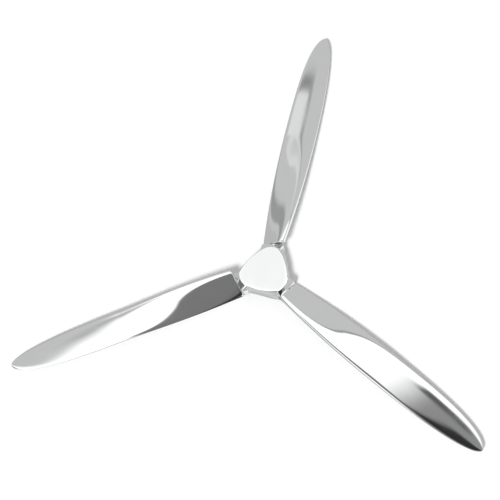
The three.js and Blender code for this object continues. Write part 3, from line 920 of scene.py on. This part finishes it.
def zinc_steel():
    """Bright zinc plate with faint blue and straw clouds."""
    material, tree, shader = start_material("zinc plated steel", (0.66, 0.68, 0.7), 1, 0.28)
    clouds = noise(tree, object_space(tree, (1, 1, 1)), 420, 3)
    grains = noise(tree, object_space(tree, (1, 1, 1)), 4000, 2)
    tree.links.new(remap(tree, clouds, 0.3, 0.7, 0.22, 0.36), shader.inputs["Roughness"])
    tint(tree, shader, clouds, (0.6, 0.64, 0.7), (0.74, 0.73, 0.68))
    add_bump(tree, shader, grains, 0.2, 0.01 * MM)
    return material


def turned_steel():
    """Oiled steel with fine turning marks round the axis."""
    material, tree, shader = start_material("turned steel", (0.55, 0.57, 0.59), 1, 0.28)
    marks = noise(tree, object_space(tree, (0.02, 0.02, 1.0)), 5000, 2)
    stains = noise(tree, object_space(tree, (1, 1, 1)), 200, 3)
    tint(tree, shader, stains, (0.46, 0.46, 0.47), (0.6, 0.61, 0.63))
    tree.links.new(remap(tree, stains, 0.3, 0.7, 0.2, 0.36), shader.inputs["Roughness"])
    add_bump(tree, shader, marks, 0.35, 0.02 * MM)
    return material


def bronze():
    material, tree, shader = start_material("bearing bronze", (0.71, 0.54, 0.29), 1, 0.35)
    stains = noise(tree, object_space(tree, (1, 1, 1)), 300, 4)
    pores = noise(tree, object_space(tree, (1, 1, 1)), 5000, 2)
    tint(tree, shader, stains, (0.5, 0.34, 0.17), (0.78, 0.6, 0.34))
    tree.links.new(remap(tree, stains, 0.3, 0.7, 0.25, 0.45), shader.inputs["Roughness"])
    add_bump(tree, shader, pores, 0.3, 0.02 * MM)
    return material


def powder_coat():
    """Dark textured powder coat."""
    material, tree, shader = start_material("powder coat", (0.03, 0.031, 0.033), 0, 0.5)
    peel = noise(tree, object_space(tree, (1, 1, 1)), 1800, 2)
    dust = noise(tree, object_space(tree, (1, 1, 1)), 90, 4)
    tint(tree, shader, dust, (0.022, 0.023, 0.025), (0.05, 0.05, 0.052))
    tree.links.new(remap(tree, dust, 0.3, 0.7, 0.42, 0.58), shader.inputs["Roughness"])
    add_bump(tree, shader, peel, 0.5, 0.06 * MM)
    return material


def nylon():
    material, tree, shader = start_material("black nylon", (0.02, 0.02, 0.022), 0, 0.45)
    flow = noise(tree, object_space(tree, (1, 1, 0.2)), 700, 3)
    tint(tree, shader, flow, (0.014, 0.014, 0.015), (0.03, 0.03, 0.032))
    tree.links.new(remap(tree, flow, 0.3, 0.7, 0.38, 0.52), shader.inputs["Roughness"])
    add_bump(tree, shader, flow, 0.2, 0.02 * MM)
    return material


MATERIALS = {
    "polished_aluminium": polished_aluminium(),
    "cast_aluminium": cast_aluminium(),
    "zinc_steel": zinc_steel(),
    "turned_steel": turned_steel(),
    "bronze": bronze(),
    "powder_coat": powder_coat(),
    "nylon": nylon(),
}


def dress(obj, node, body, slot):
    """Gives a piece its material and lets it stand for its CAD node."""
    if OWN_PLACE not in obj.data.attributes:
        keep_own_place(obj)
    obj.data.materials.clear()
    obj.data.materials.append(MATERIALS[slot])
    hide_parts(node)
    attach(obj, body)


def polish_outside(body):
    """The hub body's outer wall is polished; everything inside it keeps its cast skin."""
    body.data.materials.append(MATERIALS["polished_aluminium"])
    for face in body.data.polygons:
        c = face.center
        depth = wall_radius(math.atan2(c.y, c.x)) - math.hypot(c.x, c.y)
        if depth < POLISH_DEPTH:
            face.material_index = 1


# ---------- assembly ----------
def build_rotor():
    dress(hub_cap_piece(), "hub_cap", "rotor", "polished_aluminium")
    body = hub_body_piece()
    dress(body, "hub_body", "rotor", "cast_aluminium")
    polish_outside(body)
    dress(bush_piece("bush_rear", "bush_rear_bronze"), "bush_rear", "rotor", "bronze")
    dress(bush_piece("bush_front", "bush_front_bronze"), "bush_front", "rotor", "bronze")
    for i in range(BLADES):
        number = i + 1
        dress(blade_piece(i), f"blade_{number}", "rotor", "polished_aluminium")
        dress(stud_piece(i), f"blade_stud_{number}", "rotor", "zinc_steel")
        dress(dowel_piece(i), f"blade_dowel_{number}", "rotor", "turned_steel")
        dress(blade_washer_piece(i), f"blade_washer_{number}", "rotor", "zinc_steel")
        dress(blade_nut_piece(i), f"blade_nut_{number}", "rotor", "zinc_steel")
        dress(cover_screw_piece(i), f"cover_screw_{number}", "rotor", "zinc_steel")


def build_wall_mount():
    dress(wall_plate_piece(), "wall_plate", "wall_mount", "powder_coat")
    dress(spindle_piece(), "spindle", "wall_mount", "turned_steel")
    thrust_washer = washer_piece("thrust_washer", "thrust_washer_nylon", BUSH_BORE_RADIUS)
    dress(thrust_washer, "thrust_washer", "wall_mount", "nylon")
    spindle_washer = washer_piece("spindle_washer", "spindle_washer_zinc", SPINDLE_WASHER_BORE_RADIUS)
    dress(spindle_washer, "spindle_washer", "wall_mount", "zinc_steel")
    dress(spindle_nut_piece(), "spindle_nut", "wall_mount", "zinc_steel")


# ---------- stage, light and camera ----------
SQUARE = ((-1, -1), (1, -1), (1, 1), (-1, 1))
FLOOR_Z = CAD_LOW.z - 0.5 * MM
FLOOR_HALF = 4.0
CAMERA_AZIMUTH = math.radians(38.19)
CAMERA_ELEVATION = math.radians(64.14)
CAMERA_ROLL = math.radians(-27.04)
CAMERA_DISTANCE = 1.66007
CAMERA_AIM = Vector((-28.352, 27.486, 13.1)) * MM
CAMERA_LENS = 93.456
CAMERA_SENSOR = 36
CAMERA_CLIP = (0.1, 20)  # the nearest and the farthest distance that it sees
SKY_LEVEL = 0.55
SUN_LEVEL = 2.6
SUN_TOWARDS = Vector((-0.03, -0.78, 1.0)).normalized()
SUN_SIZE = math.radians(14)


def build_floor():
    """A pale floor that is clear from below and in reflections, where the studio's table stands for it."""
    corners = [Vector((x * FLOOR_HALF, y * FLOOR_HALF, FLOOR_Z)) for x, y in SQUARE]
    floor = make_object("floor", corners, [(0, 1, 2, 3)])
    material, tree, shader = start_material("pale floor", (0.86, 0.86, 0.86), 0, 0.9)
    shader.inputs["Specular IOR Level"].default_value = 0.0
    geometry = tree.nodes.new("ShaderNodeNewGeometry")
    path = tree.nodes.new("ShaderNodeLightPath")
    clear = tree.nodes.new("ShaderNodeBsdfTransparent")
    mix = tree.nodes.new("ShaderNodeMixShader")
    output = tree.nodes["Material Output"]
    unseen = math_node(tree, "MAXIMUM", geometry.outputs["Backfacing"], path.outputs["Is Glossy Ray"])
    tree.links.new(unseen, mix.inputs["Fac"])
    tree.links.new(shader.outputs["BSDF"], mix.inputs[1])
    tree.links.new(clear.outputs["BSDF"], mix.inputs[2])
    tree.links.new(mix.outputs["Shader"], output.inputs["Surface"])
    floor.data.materials.append(material)


def build_sun():
    lamp = bpy.data.lights.new("key light", "SUN")
    lamp.energy = SUN_LEVEL
    lamp.angle = SUN_SIZE
    sun = bpy.data.objects.new("key light", lamp)
    sun.rotation_mode = "QUATERNION"
    sun.rotation_quaternion = SUN_TOWARDS.to_track_quat("Z", "Y")
    sun.visible_glossy = False
    bpy.context.scene.collection.objects.link(sun)


# What polished metal sees above it: a ceiling of soft boxes and dark gaps, laid out in the frame's x and y.
CEILING_Z = 500 * MM
CEILING_HALF = 5.0
ROOM_LEVEL = 0.56
SOFT_BOX = 1.2
CEILING_PANELS = [
    # name, centre and half size in mm, turn in degrees, softness of the two pairs of edges in mm, level
    ("main soft box", (-15, 10), (415, 330), 0, (70, 30), SOFT_BOX),
    ("low soft box", (-380, -585), (330, 405), 0, (60, 60), SOFT_BOX),
    ("slanted soft box", (-357, 203), (129, 150), 45, (70, 40), SOFT_BOX),
    ("dimmer middle", (-143, 190), (70, 70), 0, (60, 60), 0.99),
    ("soft box frame", (190, 350), (95, 18), 0, (8, 12), 0.3),
    ("soft box's grey edge", (-446, 40), (30, 85), 8, (60, 60), 0.46),
    ("dark room", (142, -724), (750, 350), 59.3, (30, 90), 0.27),
    ("dark doorway", (126, -445), (400, 110), -50, (30, 40), 0.19),
    ("black flag", (230, -220), (150, 124), 45, (40, 40), 0.03),
    ("black corner", (1150, -1600), (700, 1000), 0, (400, 400), 0.03),
    ("far dark wall", (1400, -3400), (1200, 1400), 0, (300, 300), 0.03),
    ("camera", (266, 57), (54, 25), -40, (30, 24), 0.1),
    ("window", (-283, 547), (88, 49), -12, (12, 12), 0.76),
    ("window's foot", (-290, 469), (58, 16), 32, (20, 10), 0.72),
    ("window's head", (-270, 615), (85, 16), -12, (20, 16), 0.26),
    ("window's side", (-190, 530), (9, 60), 0, (12, 12), 0.35),
    ("far wall", (-1500, 760), (650, 230), -21, (300, 60), 0.33),
    ("back wall", (900, 1400), (450, 350), 0, (60, 60), 0.33),
    ("side wall", (-2790, -710), (2250, 440), 0, (60, 60), 0.16),
]
# What it sees past the ceiling's edges and below the horizon: sectors of the table round the object.
TABLE_LEVEL = 1.0
TABLE_SECTORS = [
    # direction in degrees, half width, softness, level
    (-150, 20, 12, 0.54),
    (-105, 30, 16, 0.6),
    (-60, 8, 4, 0.05),
    (86, 38, 12, 0.56),
    (150, 24, 12, 0.5),
    (187, 13, 8, 0.2),
]


def math_node(tree, operation, first, second=None):
    node = tree.nodes.new("ShaderNodeMath")
    node.operation = operation
    tree.links.new(first, node.inputs[0])
    if second is not None:
        tree.links.new(second, node.inputs[1])
    return node.outputs["Value"]


def inside_edges(tree, distance, half, softness):
    """1 well inside a pair of edges and 0 well outside them."""
    node = tree.nodes.new("ShaderNodeMapRange")
    node.interpolation_type = "SMOOTHSTEP"
    node.inputs["From Min"].default_value = half + softness / 2
    node.inputs["From Max"].default_value = half - softness / 2
    tree.links.new(math_node(tree, "ABSOLUTE", distance), node.inputs["Value"])
    return node.outputs["Result"]


def paint_panel(tree, position, under, panel):
    """Lays one panel of the ceiling over what is there already, and returns the new level."""
    name, centre, half, turn, softness, level = panel
    local = tree.nodes.new("ShaderNodeMapping")
    local.label = name
    local.vector_type = "TEXTURE"
    local.inputs["Location"].default_value = (centre[0] * MM, centre[1] * MM, 0)
    local.inputs["Rotation"].default_value = (0, 0, math.radians(turn))
    tree.links.new(position, local.inputs["Vector"])
    split = tree.nodes.new("ShaderNodeSeparateXYZ")
    tree.links.new(local.outputs["Vector"], split.inputs["Vector"])
    wide = inside_edges(tree, split.outputs["X"], half[0] * MM, softness[0] * MM)
    high = inside_edges(tree, split.outputs["Y"], half[1] * MM, softness[1] * MM)
    return mix_levels(tree, math_node(tree, "MULTIPLY", wide, high), under, level)


def mix_levels(tree, share, first, second):
    mix = tree.nodes.new("ShaderNodeMix")
    for value, socket in ((share, "Factor"), (first, "A"), (second, "B")):
        if isinstance(value, float):
            mix.inputs[socket].default_value = value
        else:
            tree.links.new(value, mix.inputs[socket])
    return mix.outputs["Result"]


def table_level(tree, direction):
    """The table's level towards a direction, from the sectors round the object."""
    level = TABLE_LEVEL
    for degrees, half, softness, value in TABLE_SECTORS:
        a = math.radians(degrees)
        turned = tree.nodes.new("ShaderNodeVectorRotate")
        turned.rotation_type = "Z_AXIS"
        turned.inputs["Angle"].default_value = -a
        tree.links.new(direction, turned.inputs["Vector"])
        split = tree.nodes.new("ShaderNodeSeparateXYZ")
        tree.links.new(turned.outputs["Vector"], split.inputs["Vector"])
        off_centre = math_node(tree, "ARCTAN2", split.outputs["Y"], split.outputs["X"])
        inside = inside_edges(tree, off_centre, math.radians(half), math.radians(softness))
        level = mix_levels(tree, inside, level, value)
    return level


def build_ceiling():
    """A ceiling that lights nothing and is seen only in reflections."""
    corners = [Vector((x * CEILING_HALF, y * CEILING_HALF, CEILING_Z)) for x, y in SQUARE]
    ceiling = make_object("ceiling", corners, [(0, 1, 2, 3)])
    material = bpy.data.materials.new("studio ceiling")
    material.use_nodes = True
    material.cycles.emission_sampling = "NONE"
    tree = material.node_tree
    position = tree.nodes.new("ShaderNodeNewGeometry").outputs["Position"]
    level = ROOM_LEVEL
    for panel in CEILING_PANELS:
        level = paint_panel(tree, position, level, panel)
    glow = tree.nodes.new("ShaderNodeEmission")
    tree.links.new(level, glow.inputs["Strength"])
    tree.links.new(glow.outputs["Emission"], tree.nodes["Material Output"].inputs["Surface"])
    ceiling.data.materials.append(material)
    ceiling.visible_camera = False
    ceiling.visible_diffuse = False
    ceiling.visible_shadow = False
    ceiling.visible_transmission = False


def build_world():
    """Even light for matt surfaces, and the studio's table for polished ones to reflect."""
    world = bpy.data.worlds.new("studio")
    bpy.context.scene.world = world
    world.use_nodes = True
    world.cycles.sampling_method = "NONE"
    tree = world.node_tree
    even = tree.nodes["Background"]
    even.inputs["Color"].default_value = (1, 1, 1, 1)
    even.inputs["Strength"].default_value = SKY_LEVEL
    studio = tree.nodes.new("ShaderNodeBackground")
    studio.inputs["Color"].default_value = (1, 1, 1, 1)
    coordinates = tree.nodes.new("ShaderNodeTexCoord")
    tree.links.new(table_level(tree, coordinates.outputs["Generated"]), studio.inputs["Strength"])
    path = tree.nodes.new("ShaderNodeLightPath")
    mix = tree.nodes.new("ShaderNodeMixShader")
    tree.links.new(path.outputs["Is Glossy Ray"], mix.inputs["Fac"])
    tree.links.new(even.outputs["Background"], mix.inputs[1])
    tree.links.new(studio.outputs["Background"], mix.inputs[2])
    tree.links.new(mix.outputs["Shader"], tree.nodes["World Output"].inputs["Surface"])


def build_camera():
    a, e = CAMERA_AZIMUTH, CAMERA_ELEVATION
    back = Vector((math.sin(a) * math.cos(e), -math.cos(a) * math.cos(e), math.sin(e)))
    right = Vector((math.cos(a), math.sin(a), 0))
    up = back.cross(right)
    turn = Matrix((right, up, back)).transposed().to_4x4()
    camera = bpy.data.objects.new("camera", bpy.data.cameras.new("camera"))
    camera.data.lens = CAMERA_LENS
    camera.data.sensor_width = CAMERA_SENSOR
    camera.data.clip_start, camera.data.clip_end = CAMERA_CLIP
    camera.matrix_world = (
        Matrix.Translation(CAMERA_AIM + back * CAMERA_DISTANCE) @ turn @ Matrix.Rotation(CAMERA_ROLL, 4, "Z")
    )
    bpy.context.scene.collection.objects.link(camera)
    bpy.context.scene.camera = camera


build_rotor()
build_wall_mount()
build_floor()
build_ceiling()
build_sun()
build_world()
build_camera()
bpy.context.scene.view_settings.view_transform = "Standard"
